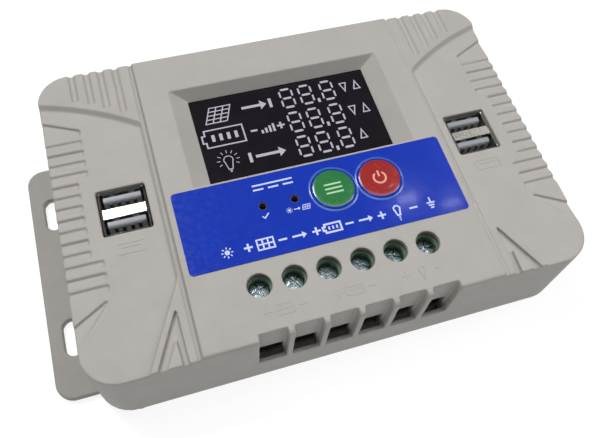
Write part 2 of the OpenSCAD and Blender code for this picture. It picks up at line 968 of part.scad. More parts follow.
module usb_contacts_right() {
    color([0.85, 0.75, 0.45])
    usb_contacts_part(1);
}

// ---------- terminals ----------

module terminal_block() {
    color([0.15, 0.35, 0.22])
    difference() {
        span([terminal_x - block_half, block_front, board_top],
             [terminal_x + block_half, block_back, block_top]);
        at_terminals() {
            translate([0, screw_y, 0]) {
                translate([0, 0, head_z - run_gap])
                    cylinder(h = 10, r = well_r);
                translate([0, 0, chamber_z[1] - over])
                    cylinder(h = 10, r = screw_shank_r + 0.3);
                span([-chamber[0] / 2, -chamber[1] / 2, chamber_z[0]],
                     [chamber[0] / 2, chamber[1] / 2, chamber_z[1]]);
                span([-bar_w / 2 - 0.3, 0, board_top - over],
                     [bar_w / 2 + 0.3, 5.4, bar_z + bar_t + 0.2]);
            }
            span([-entry_w / 2, block_front - over, entry_z[0]], [entry_w / 2, screw_y, entry_z[1]]);
        }
    }
}

module terminal_tabs() {
    color([0.8, 0.76, 0.6])
    at_terminals()
        translate([0, screw_y, 0]) {
            span([-bar_w / 2, -3.2, bar_z], [bar_w / 2, 5, bar_z + bar_t]);
            span([-bar_w / 2, 4, board_z - 1.5], [bar_w / 2, 5, bar_z + 0.1]);
        }
}

module terminal_screw(i) {
    color([0.6, 0.66, 0.72])
    translate([terminal_pos(i), screw_y, 0])
    difference() {
        union() {
            translate([0, 0, head_z])
                cylinder(h = head_h, r = screw_head_r);
            translate([0, 0, screw_tip_z])
                cylinder(h = head_z - screw_tip_z + 0.1, r = screw_shank_r);
        }
        for (a = [20 + 13 * i, 110 + 13 * i])
            rotate([0, 0, a])
                span([-screw_head_r - over, -0.45, head_z + head_h - 1.1],
                     [screw_head_r + over, 0.45, head_z + head_h + over]);
    }
}

module wire_clamp(i) {
    color([0.72, 0.72, 0.7])
    translate([terminal_pos(i), screw_y, 0])
    difference() {
        span([-cage[0] / 2, -cage[1] / 2, cage_z], [cage[0] / 2, cage[1] / 2, cage_z + cage_h]);
        span([-cage[0] / 2 + cage_side, -cage[1] / 2 - over, cage_z + cage_floor],
             [cage[0] / 2 - cage_side, cage[1] / 2 + over, cage_z + cage_h - cage_roof]);
        translate([0, 0, cage_z + cage_h - cage_roof - over])
            cylinder(h = cage_roof + 2 * over, r = screw_shank_r + run_gap);
    }
}

// ---------- parts of the power stage ----------

module heatsink() {
    color([0.75, 0.76, 0.78])
    difference() {
        union() {
            span(heatsink_low, heatsink_high);
            for (y = fin_y)
                span([heatsink_low[0], y, heatsink_high[2] - 0.1],
                     [heatsink_high[0], y + fin_t, display_z - 1.5]);
        }
        for (x = mosfet_x)
            translate([x, mosfet_y + mosfet_screw_y, 0])
                cylinder(h = 30, r = 1.5);
    }
}

module mosfets() {
    z = heatsink_high[2] + 0.1;
    color([0.13, 0.13, 0.14])
    for (x = mosfet_x)
        translate([x, mosfet_y, z])
        difference() {
            union() {
                span([-5.1, -6, 0.7], [5.1, 3.2, 4.5]);
                span([-5.1, -5, 0], [5.1, 9.5, 1.3]);
                for (p = mosfet_legs) {
                    span([p - 0.4, mosfet_leg_y, 1.8], [p + 0.4, -5.9, 2.4]);
                    span([p - 0.4, mosfet_leg_y, -6.5], [p + 0.4, mosfet_leg_y + 0.6, 2.3]);
                }
            }
            translate([0, mosfet_screw_y, -over])
                cylinder(h = 5, r = 1.8);
        }
}

module heatsink_screws() {
    color([0.62, 0.64, 0.66])
    for (x = mosfet_x)
        translate([x, mosfet_y + mosfet_screw_y, heatsink_high[2] + 1.4])
            pan_screw(2.6, 1.8, 1.4, 4);
}

module capacitors() {
    color([0.12, 0.13, 0.2])
    for (p = capacitor_places)
        translate([p[0], p[1], board_top])
            rotate_extrude()
                polygon([[0, 0], [p[2] - 0.3, 0], [p[2], 0.3], [p[2], 1.2], [p[2] - 0.4, 1.6],
                         [p[2], 2], [p[2], p[3] - 0.5], [p[2] - 0.5, p[3]], [p[2] - 1, p[3]],
                         [p[2] - 1.1, p[3] - 0.2], [0, p[3] - 0.2]]);
}

module inductor_core() {
    color([0.75, 0.7, 0.25])
    for (p = inductor_places)
        translate([p[0], p[1], board_top + 1])
            rotate_extrude()
                translate([core_hole_r, 0])
                    square(core_size);
}

module inductor_winding() {
    inside = [wire_gap, 0, wire_gap];
    outside = inside + [wire_t, 0, wire_t];
    low = [core_hole_r, 0, 0];
    high = low + [core_size[0], 0, core_size[1]];
    color([0.75, 0.4, 0.15])
    for (p = inductor_places, i = [0 : winding_turns - 1])
        translate([p[0], p[1], board_top + 1])
            rotate([0, 0, 30 + i * winding_sweep / (winding_turns - 1)])
            difference() {
                span(low - outside - [0, wire_t / 2, 0], high + outside + [0, wire_t / 2, 0]);
                span(low - inside - [0, over, 0], high + inside + [0, over, 0]);
            }
}

module controller_chip() {
    color([0.08, 0.08, 0.09])
    translate(controller_pos)
        union() {
            span([-5, -5, board_top + 0.15], [5, 5, board_top + 1.55]);
            for (a = [0 : 3])
                rotate([0, 0, 90 * a])
                    for (i = [-5 : 5])
                        span([4.9, i * 0.8 - 0.18, board_top], [6, i * 0.8 + 0.18, board_top + 0.6]);
        }
}

module driver_chips() {
    color([0.08, 0.08, 0.09])
    for (p = driver_places)
        translate([p[0], p[1], 0]) {
            span([-2.45, -1.95, board_top + 0.1], [2.45, 1.95, board_top + 1.6]);
            for (i = [-1.5 : 1 : 1.5], s = [-1, 1])
                translate([i * pin_pitch / 2, s * 2.4, board_top])
                    span([-0.2, -0.6, 0], [0.2, 0.6, 0.8]);
        }
}

module diodes() {
    color([0.1, 0.1, 0.11])
    for (p = diode_places)
        translate([p[0], p[1], 0]) {
            span([-3.4, -2.9, board_top + 0.1], [3.4, 2.9, board_top + 2.3]);
            for (s = [-1, 1])
                span([s * 3.6 - 0.5, -1.5, board_top], [s * 3.6 + 0.5, 1.5, board_top + 1]);
        }
}

module shunt() {
    half = shunt_t / 2;
    color([0.7, 0.55, 0.35])
    for (x = shunt_x)
        translate([x, shunt_y, 0]) {
            for (s = [-1, 1])
                translate([0, s * shunt_reach, 0])
                    span([-half, -half, board_z - 1], [half, half, board_top + 4]);
            span([-half, -shunt_reach, board_top + 4 - shunt_t], [half, shunt_reach, board_top + 4]);
        }
}

top_cover();
base_plate();
cover_screws();
front_label();
lcd_glass();
lcd_frame();
lcd_backlight();
lcd_pins();
display_board();
display_board_screws();
board_header();
header_socket();
power_board();
power_board_screws();
work_led();
pv_led();
menu_key();
power_key();
menu_switch_body();
power_switch_body();
menu_plunger();
power_plunger();
usb_shell_left();
usb_shell_right();
usb_insulator_left();
usb_insulator_right();
usb_tongues_left();
usb_tongues_right();
usb_contacts_left();
usb_contacts_right();
terminal_block();
terminal_tabs();
terminal_screw(0);  // terminal_screw_1
terminal_screw(1);  // terminal_screw_2
terminal_screw(2);  // terminal_screw_3
terminal_screw(3);  // terminal_screw_4
terminal_screw(4);  // terminal_screw_5
terminal_screw(5);  // terminal_screw_6
wire_clamp(0);  // wire_clamp_1
wire_clamp(1);  // wire_clamp_2
wire_clamp(2);  // wire_clamp_3
wire_clamp(3);  // wire_clamp_4
wire_clamp(4);  // wire_clamp_5
wire_clamp(5);  // wire_clamp_6
mosfets();
heatsink();
heatsink_screws();
capacitors();
inductor_core();
inductor_winding();
controller_chip();
driver_chips();
diodes();
shunt();
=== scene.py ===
"""The looks of a wall-mounted solar charge controller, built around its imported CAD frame.

Shapes are drawn in millimetres, and MM turns them into metres where points are made. +X is the long
way, +Y points from the terminals to the display, +Z is up out of the front, and the wall is at Z 0.
"""

import math

import bmesh
import bpy
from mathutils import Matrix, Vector


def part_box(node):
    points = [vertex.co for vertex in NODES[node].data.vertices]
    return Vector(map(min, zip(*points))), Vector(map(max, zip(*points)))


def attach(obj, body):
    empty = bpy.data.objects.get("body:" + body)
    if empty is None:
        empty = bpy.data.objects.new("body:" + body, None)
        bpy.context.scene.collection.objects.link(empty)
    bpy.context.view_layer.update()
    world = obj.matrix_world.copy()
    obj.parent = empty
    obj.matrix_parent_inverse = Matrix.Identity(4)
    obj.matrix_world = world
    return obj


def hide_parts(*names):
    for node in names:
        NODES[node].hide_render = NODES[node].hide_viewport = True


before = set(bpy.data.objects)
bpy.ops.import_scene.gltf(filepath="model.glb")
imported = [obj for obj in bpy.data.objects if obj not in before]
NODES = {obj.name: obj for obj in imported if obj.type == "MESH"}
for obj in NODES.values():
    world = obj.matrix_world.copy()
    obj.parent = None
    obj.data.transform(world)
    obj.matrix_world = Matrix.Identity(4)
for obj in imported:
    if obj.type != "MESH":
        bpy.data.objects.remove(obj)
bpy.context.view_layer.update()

MM = 0.001
SIDES = ("left", "right")
WELD = 0.02
ROUND_STEPS = 96
WHITE = (1.0, 1.0, 1.0, 1.0)
NOISE_SPAN = (0.3, 0.7)  # where most values of a noise lie


def box_mm(node):
    """A CAD node's lowest and highest corner, in millimetres."""
    low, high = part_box(node)
    return low / MM, high / MM


def middle_mm(node):
    """The middle of a CAD node's box, in millimetres."""
    low, high = box_mm(node)
    return (low + high) / 2


# ---------------------------------------------------------------- materials


class Shader:
    """One material: a Principled shader and its patterns, in the object's own coordinates."""

    def __init__(self, name, **values):
        self.material = bpy.data.materials.new(name)
        self.material.use_nodes = True
        self.tree = self.material.node_tree
        self.surface = self.tree.nodes["Principled BSDF"]
        self.coordinates = self.tree.nodes.new("ShaderNodeTexCoord").outputs["Object"]
        for socket, value in values.items():
            self.surface.inputs[socket.replace("_", " ")].default_value = value

    def place(self, size, stretch=(1, 1, 1), shift=(0, 0, 0)):
        """Coordinates that repeat every size millimetres, longer along the stretched axes."""
        mapping = self.tree.nodes.new("ShaderNodeMapping")
        mapping.inputs["Location"].default_value = shift
        mapping.inputs["Scale"].default_value = [1 / (size * MM * s) for s in stretch]
        self.tree.links.new(self.coordinates, mapping.inputs["Vector"])
        return mapping.outputs["Vector"]

    def noise(self, size, detail=2.0, roughness=0.5, stretch=(1, 1, 1), shift=(0, 0, 0)):
        """Cloudy noise whose features are about size millimetres."""
        node = self.tree.nodes.new("ShaderNodeTexNoise")
        node.inputs["Scale"].default_value = 1.0
        node.inputs["Detail"].default_value = detail
        node.inputs["Roughness"].default_value = roughness
        self.tree.links.new(self.place(size, stretch, shift), node.inputs["Vector"])
        return node.outputs["Fac"]

    def cells(self, size, feature="F1", stretch=(1, 1, 1)):
        """Distances to scattered points about size millimetres apart."""
        node = self.tree.nodes.new("ShaderNodeTexVoronoi")
        node.feature = feature
        node.inputs["Scale"].default_value = 1.0
        self.tree.links.new(self.place(size, stretch), node.inputs["Vector"])
        return node.outputs["Distance"]

    def between(self, value, start, end, low=0.0, high=1.0):
        """value, brought from start..end to low..high."""
        node = self.tree.nodes.new("ShaderNodeMapRange")
        limits = {"From Min": start, "From Max": end, "To Min": low, "To Max": high}
        for socket, number in limits.items():
            node.inputs[socket].default_value = number
        self.tree.links.new(value, node.inputs["Value"])
        return node.outputs["Result"]

    def times(self, a, b):
        """The product of two patterns."""
        node = self.tree.nodes.new("ShaderNodeMath")
        node.operation = "MULTIPLY"
        for value, socket in zip((a, b), node.inputs):
            self.tree.links.new(value, socket)
        return node.outputs["Value"]

    def mix(self, factor, a, b):
        """Colour a where factor is 0, colour b where it is 1."""
        node = self.tree.nodes.new("ShaderNodeMix")
        node.data_type = "RGBA"
        self.tree.links.new(factor, node.inputs["Factor"])
        for colour, socket in ((a, "A"), (b, "B")):
            wanted = [i for i in node.inputs if i.name == socket and i.type == "RGBA"][0]
            if isinstance(colour, tuple):
                wanted.default_value = (*colour, 1.0)
            else:
                self.tree.links.new(colour, wanted)
        return [o for o in node.outputs if o.type == "RGBA"][0]

    def colour(self, value):
        """Sets the base colour to a pattern."""
        self.tree.links.new(value, self.surface.inputs["Base Color"])

    def rough(self, value):
        """Sets the roughness to a pattern."""
        self.tree.links.new(value, self.surface.inputs["Roughness"])

    def bump(self, *heights):
        """Bumps from (value, height in millimetres) pairs, each laid over the one before."""
        normal = None
        for value, height in heights:
            node = self.tree.nodes.new("ShaderNodeBump")
            node.inputs["Strength"].default_value = 1.0
            node.inputs["Distance"].default_value = height * MM
            self.tree.links.new(value, node.inputs["Height"])
            if normal is not None:
                self.tree.links.new(normal, node.inputs["Normal"])
            normal = node.outputs["Normal"]
        self.tree.links.new(normal, self.surface.inputs["Normal"])


def shade(colour, amount):
    """A colour made lighter or darker by a share of itself."""
    return tuple(min(1.0, c * (1 + amount)) for c in colour)


def moulded(name, colour, roughness, grain=0.30, depth=0.010, mottle=0.03):
    """Moulded plastic: fine spark-eroded grain, cloudy gloss and faintly varied colour."""
    s = Shader(name, Specular_IOR_Level=0.32)
    cloud = s.between(s.noise(9.0, detail=4.0, roughness=0.6), *NOISE_SPAN)
    s.colour(s.mix(cloud, shade(colour, -mottle), shade(colour, mottle)))
    gloss = s.noise(2.6, detail=3.0, shift=(3, 1, 2))
    s.rough(s.between(gloss, *NOISE_SPAN, roughness - 0.07, roughness + 0.07))
    s.bump((s.noise(grain, detail=2.0), depth), (s.noise(8.0, detail=1.0, shift=(5, 0, 1)), 0.008))
    return s.material


def printed(name, colour, roughness, mottle=0.04, coat=0.25):
    """Printed polyester film: a gloss with slight orange peel over an even colour."""
    s = Shader(name, Coat_Weight=coat, Coat_Roughness=0.06)
    cloud = s.between(s.noise(7.0, detail=3.0), *NOISE_SPAN)
    s.colour(s.mix(cloud, shade(colour, -mottle), shade(colour, mottle)))
    s.rough(s.between(s.noise(1.5, detail=3.0), *NOISE_SPAN, roughness - 0.05, roughness + 0.05))
    s.bump((s.noise(1.1, detail=1.0), 0.0015), (s.noise(14.0, detail=1.0, shift=(2, 4, 0)), 0.005))
    return s.material


def glossy(name, colour, roughness, transmission=0.0, ior=1.5):
    """Glass or a clear moulded lens, with faint smears in its gloss."""
    s = Shader(name, IOR=ior, Transmission_Weight=transmission)
    cloud = s.between(s.noise(5.0, detail=3.0), *NOISE_SPAN)
    s.colour(s.mix(cloud, shade(colour, -0.12), shade(colour, 0.12)))
    smears = s.noise(4.0, detail=5.0, roughness=0.65, stretch=(3, 1, 1))
    s.rough(s.between(smears, 0.45, 0.8, roughness, roughness + 0.14))
    s.bump((s.noise(3.0, detail=1.0), 0.003))
    return s.material


def metal(name, colour, roughness, brushed=(1, 1, 1), tarnish=0.12, pits=0.006):
    """Plated metal: fine drawn lines, uneven gloss, and patches a little duller than the rest."""
    s = Shader(name, Metallic=1.0)
    patches = s.between(s.noise(1.4, detail=4.0, roughness=0.6), 0.35, 0.7)
    s.colour(s.mix(patches, shade(colour, tarnish / 2), shade(colour, -tarnish)))
    lines = s.noise(0.12, detail=3.0, stretch=brushed)
    s.rough(s.between(lines, *NOISE_SPAN, roughness - 0.06, roughness + 0.1))
    s.bump((lines, pits / 2), (s.noise(0.5, detail=2.0, shift=(1, 2, 3)), pits))
    return s.material


def circuit_board(name):
    """Green solder mask over copper: broad planes, thin tracks between them and tinned holes."""
    mask, copper, tin = (0.012, 0.085, 0.03), (0.03, 0.17, 0.055), (0.62, 0.62, 0.6)
    s = Shader(name, Coat_Weight=0.4, Coat_Roughness=0.12)
    planes = s.between(s.cells(5.0, "F1", stretch=(1.6, 1, 40)), 0.46, 0.5)
    tracks = s.between(s.cells(1.6, "DISTANCE_TO_EDGE", stretch=(3, 1, 40)), 0.06, 0.1)
    holes = s.between(s.cells(3.4, "F1", stretch=(1, 1, 40)), 0.075, 0.095, 1.0, 0.0)
    base = s.mix(s.times(planes, tracks), copper, mask)
    s.colour(s.mix(holes, base, tin))
    s.rough(s.between(s.noise(2.0, detail=3.0), *NOISE_SPAN, 0.25, 0.4))
    s.bump((tracks, -0.02), (s.noise(0.4), 0.004))
    return s.material


def enamel_wire(name):
    """Copper under clear enamel, a little darker where the enamel is thick."""
    s = Shader(name, Metallic=1.0, Coat_Weight=0.8, Coat_Roughness=0.08)
    turns = s.noise(0.6, detail=3.0, stretch=(1, 1, 4))
    s.colour(s.mix(s.between(turns, *NOISE_SPAN), (0.72, 0.27, 0.11), (0.45, 0.13, 0.05)))
    s.rough(s.between(s.noise(1.0), *NOISE_SPAN, 0.2, 0.34))
    s.bump((turns, 0.01))
    return s.material


def speckled(name, colour, speck, roughness):
    """Pressed and sintered powder: matt, with paler grains."""
    s = Shader(name)
    s.colour(s.mix(s.between(s.cells(0.35), 0.1, 0.5), speck, colour))
    s.rough(s.between(s.noise(0.8, detail=3.0), *NOISE_SPAN, roughness - 0.08, roughness + 0.08))
    s.bump((s.noise(0.25, detail=3.0), 0.02))
    return s.material


COVER_GREY = (0.385, 0.366, 0.344)
LABEL_BLUE = (0.009, 0.036, 0.40)
INK_WHITE = (0.55, 0.62, 0.86)
KEY_GREEN = (0.024, 0.17, 0.05)
KEY_RED = (0.30, 0.021, 0.018)

FINISH = {
    "cover_plastic": moulded("cover_plastic", COVER_GREY, 0.62),
    # the cover's grey made 14% darker: painted shade on the base plate's low flange beside the body
    "base_plastic": moulded("base_plastic", shade(COVER_GREY, -0.14), 0.66),
    "white_plastic": moulded("white_plastic", (0.78, 0.77, 0.73), 0.4),
    "black_plastic": moulded("black_plastic", (0.02, 0.02, 0.021), 0.42),
    # near-black lining for the indicator wells: painted shade
    "led_well_painted_shade": moulded("led_well_painted_shade", (0.10, 0.09, 0.09), 0.5),
    "green_plastic": moulded("green_plastic", (0.075, 0.135, 0.085), 0.4, grain=0.2, depth=0.006),
    "grey_plastic": moulded("grey_plastic", (0.27, 0.285, 0.31), 0.34, grain=0.15, depth=0.004),
    "capacitor_sleeve": printed("capacitor_sleeve", (0.015, 0.02, 0.06), 0.3),
    "label_film": printed("label_film", LABEL_BLUE, 0.14),
    # paler than label_film: a painted highlight on the film's rise round each key, over the ring's
    # real shape
    "film_rim_painted_highlight": printed("film_rim_painted_highlight", (0.045, 0.11, 0.46), 0.22, coat=0.3),
    "green_key": printed("green_key", KEY_GREEN, 0.24),
    "red_key": printed("red_key", KEY_RED, 0.24),
    "label_ink": printed("label_ink", INK_WHITE, 0.3, coat=0.1),
    "green_key_ink": printed("green_key_ink", (0.42, 0.66, 0.42), 0.3, coat=0.1),
    "red_key_ink": printed("red_key_ink", (0.80, 0.36, 0.31), 0.3, coat=0.1),
    "lcd_segment": printed("lcd_segment", (0.44, 0.42, 0.49), 0.3, coat=0.5),
    "display_glass": glossy("display_glass", (0.010, 0.008, 0.012), 0.07),
    "light_guide": glossy("light_guide", (0.8, 0.85, 0.88), 0.15, transmission=0.4, ior=1.49),
    "amber_lens": glossy("amber_lens", (0.10, 0.035, 0.02), 0.12, ior=1.55),
    "green_lens": glossy("green_lens", (0.012, 0.05, 0.02), 0.12, ior=1.55),
    "tinned_pin": metal("tinned_pin", (0.72, 0.72, 0.7), 0.3),
    "zinc_screw": metal("zinc_screw", (0.30, 0.36, 0.38), 0.15, pits=0.06),
    "nickel_plate": metal("nickel_plate", (0.62, 0.60, 0.56), 0.2, brushed=(1, 1, 12)),
    # a darker copy of nickel_plate: painted shade on the sockets' lips and spring fingers
    "nickel_painted_shade": metal("nickel_painted_shade", (0.28, 0.27, 0.25), 0.3, brushed=(1, 1, 12)),
    "plated_steel": metal("plated_steel", (0.66, 0.64, 0.55), 0.28, brushed=(1, 8, 1)),
    # a dull grey-brown in place of bright gold: painted shade on the contacts deep in the ports
    "gold_contact": metal("gold_contact", (0.30, 0.265, 0.20), 0.3, brushed=(1, 1, 8)),
    "bare_aluminium": metal("bare_aluminium", (0.76, 0.77, 0.78), 0.36, brushed=(14, 1, 1)),
    "circuit_board": circuit_board("circuit_board"),
    "copper_wire": enamel_wire("copper_wire"),
    "ferrite": speckled("ferrite", (0.03, 0.03, 0.032), (0.08, 0.08, 0.085), 0.7),
}


# ---------------------------------------------------------------- CAD nodes that stay


def soften(piece, width, segments=2, angle=30):
    """Rounds a piece's sharp edges over width millimetres and shades its flat faces flat."""
    weld = piece.modifiers.new("weld", "WELD")
    weld.merge_threshold = WELD * MM
    bevel = piece.modifiers.new("bevel", "BEVEL")
    bevel.width = width * MM
    bevel.segments = segments
    bevel.limit_method = "ANGLE"
    bevel.angle_limit = math.radians(angle)
    bevel.use_clamp_overlap = False
    bevel.miter_outer = "MITER_ARC"
    shade_flat_faces_flat(piece)


def shade_flat_faces_flat(piece):
    """Smooth shading in which large flat faces keep their own normals."""
    for face in piece.data.polygons:
        face.use_smooth = True
    flat = piece.modifiers.new("flat", "WEIGHTED_NORMAL")
    flat.keep_sharp = True


REBUILT = ["top_cover", "base_plate", "terminal_block", "menu_key", "power_key"]
REBUILT += [part + side for part in ("usb_tongues_", "usb_shell_") for side in SIDES]
EDGE_WIDTH = {"front_label": 0.03}
THIN_EDGE = 0.08

SLOT_OF = {cad_name: node.data.materials[0].name for cad_name, node in NODES.items()}
for cad_name, node in NODES.items():
    for material_slot in node.material_slots:
        material_slot.material = FINISH[SLOT_OF[cad_name]]
    if cad_name not in REBUILT:
        soften(node, EDGE_WIDTH.get(cad_name, THIN_EDGE))


# ---------------------------------------------------------------- cover


def add_mesh(name, bm, finishes, body="case"):
    """A piece from a bmesh in metres, which rides on a body and wears one or more finishes."""
    mesh = bpy.data.meshes.new(name)
    bm.to_mesh(mesh)
    bm.free()
    for finish in finishes:
        mesh.materials.append(FINISH[finish])
    piece = bpy.data.objects.new(name, mesh)
    bpy.context.scene.collection.objects.link(piece)
    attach(piece, body)
    return piece


def apply_modifiers(piece):
    """Turns what the modifiers make into the piece's own mesh."""
    evaluated = piece.evaluated_get(bpy.context.evaluated_depsgraph_get())
    made = bpy.data.meshes.new_from_object(evaluated)
    piece.modifiers.clear()
    piece.data = made


def remould(node, name, voxel, rounds, kept_share, relief=None, relief_rounds=0):
    """A node with a moulding's soft corners and fillets: remeshed finely, smoothed, then thinned.

    relief picks the points, in metres, that get relief_rounds more of smoothing."""
    bm = bmesh.new()
    bm.from_mesh(NODES[node].data)
    bmesh.ops.remove_doubles(bm, verts=bm.verts, dist=WELD * MM)
    piece = add_mesh(name, bm, [SLOT_OF[node]])
    remesh = piece.modifiers.new("remesh", "REMESH")
    remesh.mode = "VOXEL"
    remesh.voxel_size = voxel * MM
    apply_modifiers(piece)
    smooth = piece.modifiers.new("smooth", "SMOOTH")
    smooth.iterations = rounds
    if relief:
        group = piece.vertex_groups.new(name="relief")
        group.add([v.index for v in piece.data.vertices if relief(v.co)], 1.0, "REPLACE")
        blend = piece.modifiers.new("blend", "SMOOTH")
        blend.iterations = relief_rounds
        blend.vertex_group = "relief"
    thin = piece.modifiers.new("thin", "DECIMATE")
    thin.ratio = kept_share
    apply_modifiers(piece)
    shade_flat_faces_flat(piece)
    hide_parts(node)


LABEL_LOW, LABEL_HIGH = box_mm("front_label")
RELIEF_X = LABEL_HIGH.x + 1.0
RELIEF_Z = LABEL_LOW.z - 4.5


def in_relief(co):
    """Whether a point lies in the stepped and grooved areas at both ends of the cover."""
    return abs(co.x) > RELIEF_X * MM and co.z > RELIEF_Z * MM


remould("top_cover", "cover", voxel=0.3, rounds=2, kept_share=0.1,
        relief=in_relief, relief_rounds=2)
remould("base_plate", "base", voxel=0.36, rounds=3, kept_share=0.08)
remould("terminal_block", "terminal_housing", voxel=0.22, rounds=2, kept_share=0.15)


# ---------------------------------------------------------------- flat shapes for marks
# A shape is an outline and, for a ring, the outline of its hole with as many points.


def rectangle(x, y, width, height):
    """A bar centred on x, y."""
    w, h = width / 2, height / 2
    return ([(x - w, y - h), (x + w, y - h), (x + w, y + h), (x - w, y + h)], None)


def round_points(x, y, radius, start=0, end=360, steps=32):
    """Points of an arc, in degrees from +X towards +Y. A full circle leaves out its last point."""
    whole = abs(end - start) == 360
    count = steps if whole else steps + 1
    turns = [math.radians(start + (end - start) * i / steps) for i in range(count)]
    return [(x + radius * math.cos(t), y + radius * math.sin(t)) for t in turns]


def disc(x, y, radius, steps=24):
    """A filled circle."""
    return (round_points(x, y, radius, steps=steps), None)


def stroke(points, width, closed=False):
    """A line of that width along the points, with mitred corners. A closed one is a ring."""
    sides = ([], [])
    count = len(points)
    for i, (x, y) in enumerate(points):
        before = points[i - 1] if closed or i else None
        after = points[(i + 1) % count] if closed or i < count - 1 else None
        steps = [Vector((x, y)) - Vector(before)] if before else []
        steps += [Vector(after) - Vector((x, y))] if after else []
        normals = [Vector((-d.y, d.x)).normalized() for d in steps]
        across = sum(normals, Vector((0, 0))).normalized()
        reach = width / 2 / max(0.35, across.dot(normals[0]))
        for side, sign in zip(sides, (1, -1)):
            side.append((x + across.x * reach * sign, y + across.y * reach * sign))
    if not closed:
        return (sides[0] + sides[1][::-1], None)
    left, right = sides
    return (left, right) if abs(area(left)) > abs(area(right)) else (right, left)


def area(points):
    """Signed area of an outline, positive when it runs anticlockwise."""
    pairs = zip(points, points[1:] + points[:1])
    return sum(ax * by - bx * ay for (ax, ay), (bx, by) in pairs) / 2


def moved(shapes, x, y, lean=0.0):
    """The shapes leaned along X by lean per unit of height, then moved."""
    def place(outline):
        return outline and [(x + (px + lean * py), y + py) for px, py in outline]
    return [(place(outer), place(inner)) for outer, inner in shapes]


def new_points(bm, outline, z):
    """A bmesh's new points along an outline, all in millimetres."""
    return [bm.verts.new((px * MM, py * MM, z * MM)) for px, py in outline]


def add_marks(name, shapes, z_low, z_high, finish, body="case"):
    """Thin solids from flat shapes: print, display segments or raised marks."""
    bm = bmesh.new()
    for outer, inner in shapes:
        outlines = [o if area(o) > 0 else o[::-1] for o in (outer, inner) if o]
        layers = [[new_points(bm, o, z) for o in outlines] for z in (z_low, z_high)]
        for loop_low, loop_high in zip(*layers):
            for i in range(len(loop_low)):
                j = (i + 1) % len(loop_low)
                bm.faces.new((loop_low[i], loop_low[j], loop_high[j], loop_high[i]))
        for layer in layers:
            if len(layer) == 1:
                bm.faces.new(layer[0])
                continue
            ring, hole = layer
            nearest = min(range(len(hole)), key=lambda k: (hole[k].co - ring[0].co).length)
            hole = hole[nearest:] + hole[:nearest]
            for i in range(len(ring)):
                j = (i + 1) % len(ring)
                bm.faces.new((ring[i], ring[j], hole[j], hole[i]))
    bmesh.ops.recalc_face_normals(bm, faces=bm.faces)
    return add_mesh(name, bm, [finish], body)


# ---------------------------------------------------------------- pictograms, each centred on 0, 0


def plus(size, width):
    """A plus sign."""
    s, w = size / 2, width / 2
    outline = [(-w, -s), (w, -s), (w, -w), (s, -w), (s, w), (w, w),
               (w, s), (-w, s), (-w, w), (-s, w), (-s, -w), (-w, -w)]
    return [(outline, None)]


def minus(size, width):
    """A minus sign."""
    return [rectangle(0, 0, size, width)]


def arrow(length, height, width):
    """An arrow that points along +X."""
    tip, neck, head, tail = length / 2, length / 2 - height * 0.6, height / 2, width / 2
    outline = [(-tip, -tail), (neck, -tail), (neck, -head), (tip, 0),
               (neck, head), (neck, tail), (-tip, tail)]
    return [(outline, None)]


def panel(width, height, line, columns=3, rows=4):
    """A solar panel: a grid of cells."""
    shapes = [rectangle(0, height * (r / rows - 0.5), width + line, line) for r in range(rows + 1)]
    bar = height / rows - line
    for r in range(rows):
        y = height * ((r + 0.5) / rows - 0.5)
        shapes += [rectangle(width * (c / columns - 0.5), y, line, bar) for c in range(columns + 1)]
    return shapes


def battery(width, height, line, bars=4, nub=1.0):
    """A battery seen from the side, with its terminal on the left and its charge as bars."""
    w, h, n = width / 2, height / 2, height * 0.21
    outline = [(-w, -h), (w, -h), (w, h), (-w, h), (-w, n), (-w - nub, n), (-w - nub, -n), (-w, -n)]
    pitch = width / (bars + 1)
    places = [(i - (bars - 1) / 2) * pitch for i in range(bars)]
    charge = [rectangle(x, 0, pitch * 0.42, height * 0.4) for x in places]
    return [stroke(outline, line, closed=True)] + charge


def ray(turn, start, end, line):
    """A line outwards from 0, 0, at turn degrees."""
    c, s = math.cos(math.radians(turn)), math.sin(math.radians(turn))
    return stroke([(c * start, s * start), (c * end, s * end)], line)


def bulb(radius, line, rays=True):
    """A lamp: a round top that narrows to its cap, with rays round the top."""
    neck, foot = radius * 0.45, -radius * 2.325
    glass = round_points(0, 0, radius, -35, 215, 20) + [(-neck, foot), (neck, foot)]
    shapes = [stroke(glass, line, closed=True)]
    shapes += [rectangle(0, foot - k * line * 1.6, radius * (0.8 - 0.2 * k), line) for k in (1, 2)]
    if rays:
        turns = range(-30, 211, 30)
        shapes += [ray(turn, radius * 1.75, radius * 2.5, line * 0.8) for turn in turns]
    return shapes


def sun(radius, line):
    """A disc with eight rays."""
    rays = [ray(turn, radius * 1.5, radius * 2.3, line) for turn in range(0, 360, 45)]
    return [disc(0, 0, radius)] + rays


def power_sign(radius, line):
    """An open ring with a bar at its top."""
    ring = stroke(round_points(0, 0, radius, 125, 415, 28), line)
    return [ring, rectangle(0, radius * 0.75, line, radius * 1.1)]


def list_sign(width, line, pitch):
    """Three bars, one over another."""
    return [rectangle(0, k * pitch, width, line) for k in (-1, 0, 1)]


def direct_current(width, line, gap):
    """A long bar over three short ones."""
    short = width * 0.26
    lower = [rectangle(k * (width - short) / 2, -gap / 2, short, line) for k in (-1, 0, 1)]
    return [rectangle(0, gap / 2, width, line)] + lower


def earth_sign(size, line):
    """A stem over three bars, each shorter than the one above."""
    bars = [rectangle(0, -k * line * 1.7, size * (1 - 0.3 * k), line) for k in range(3)]
    return bars + [rectangle(0, size * 0.3 + line / 2, line, size * 0.6)]


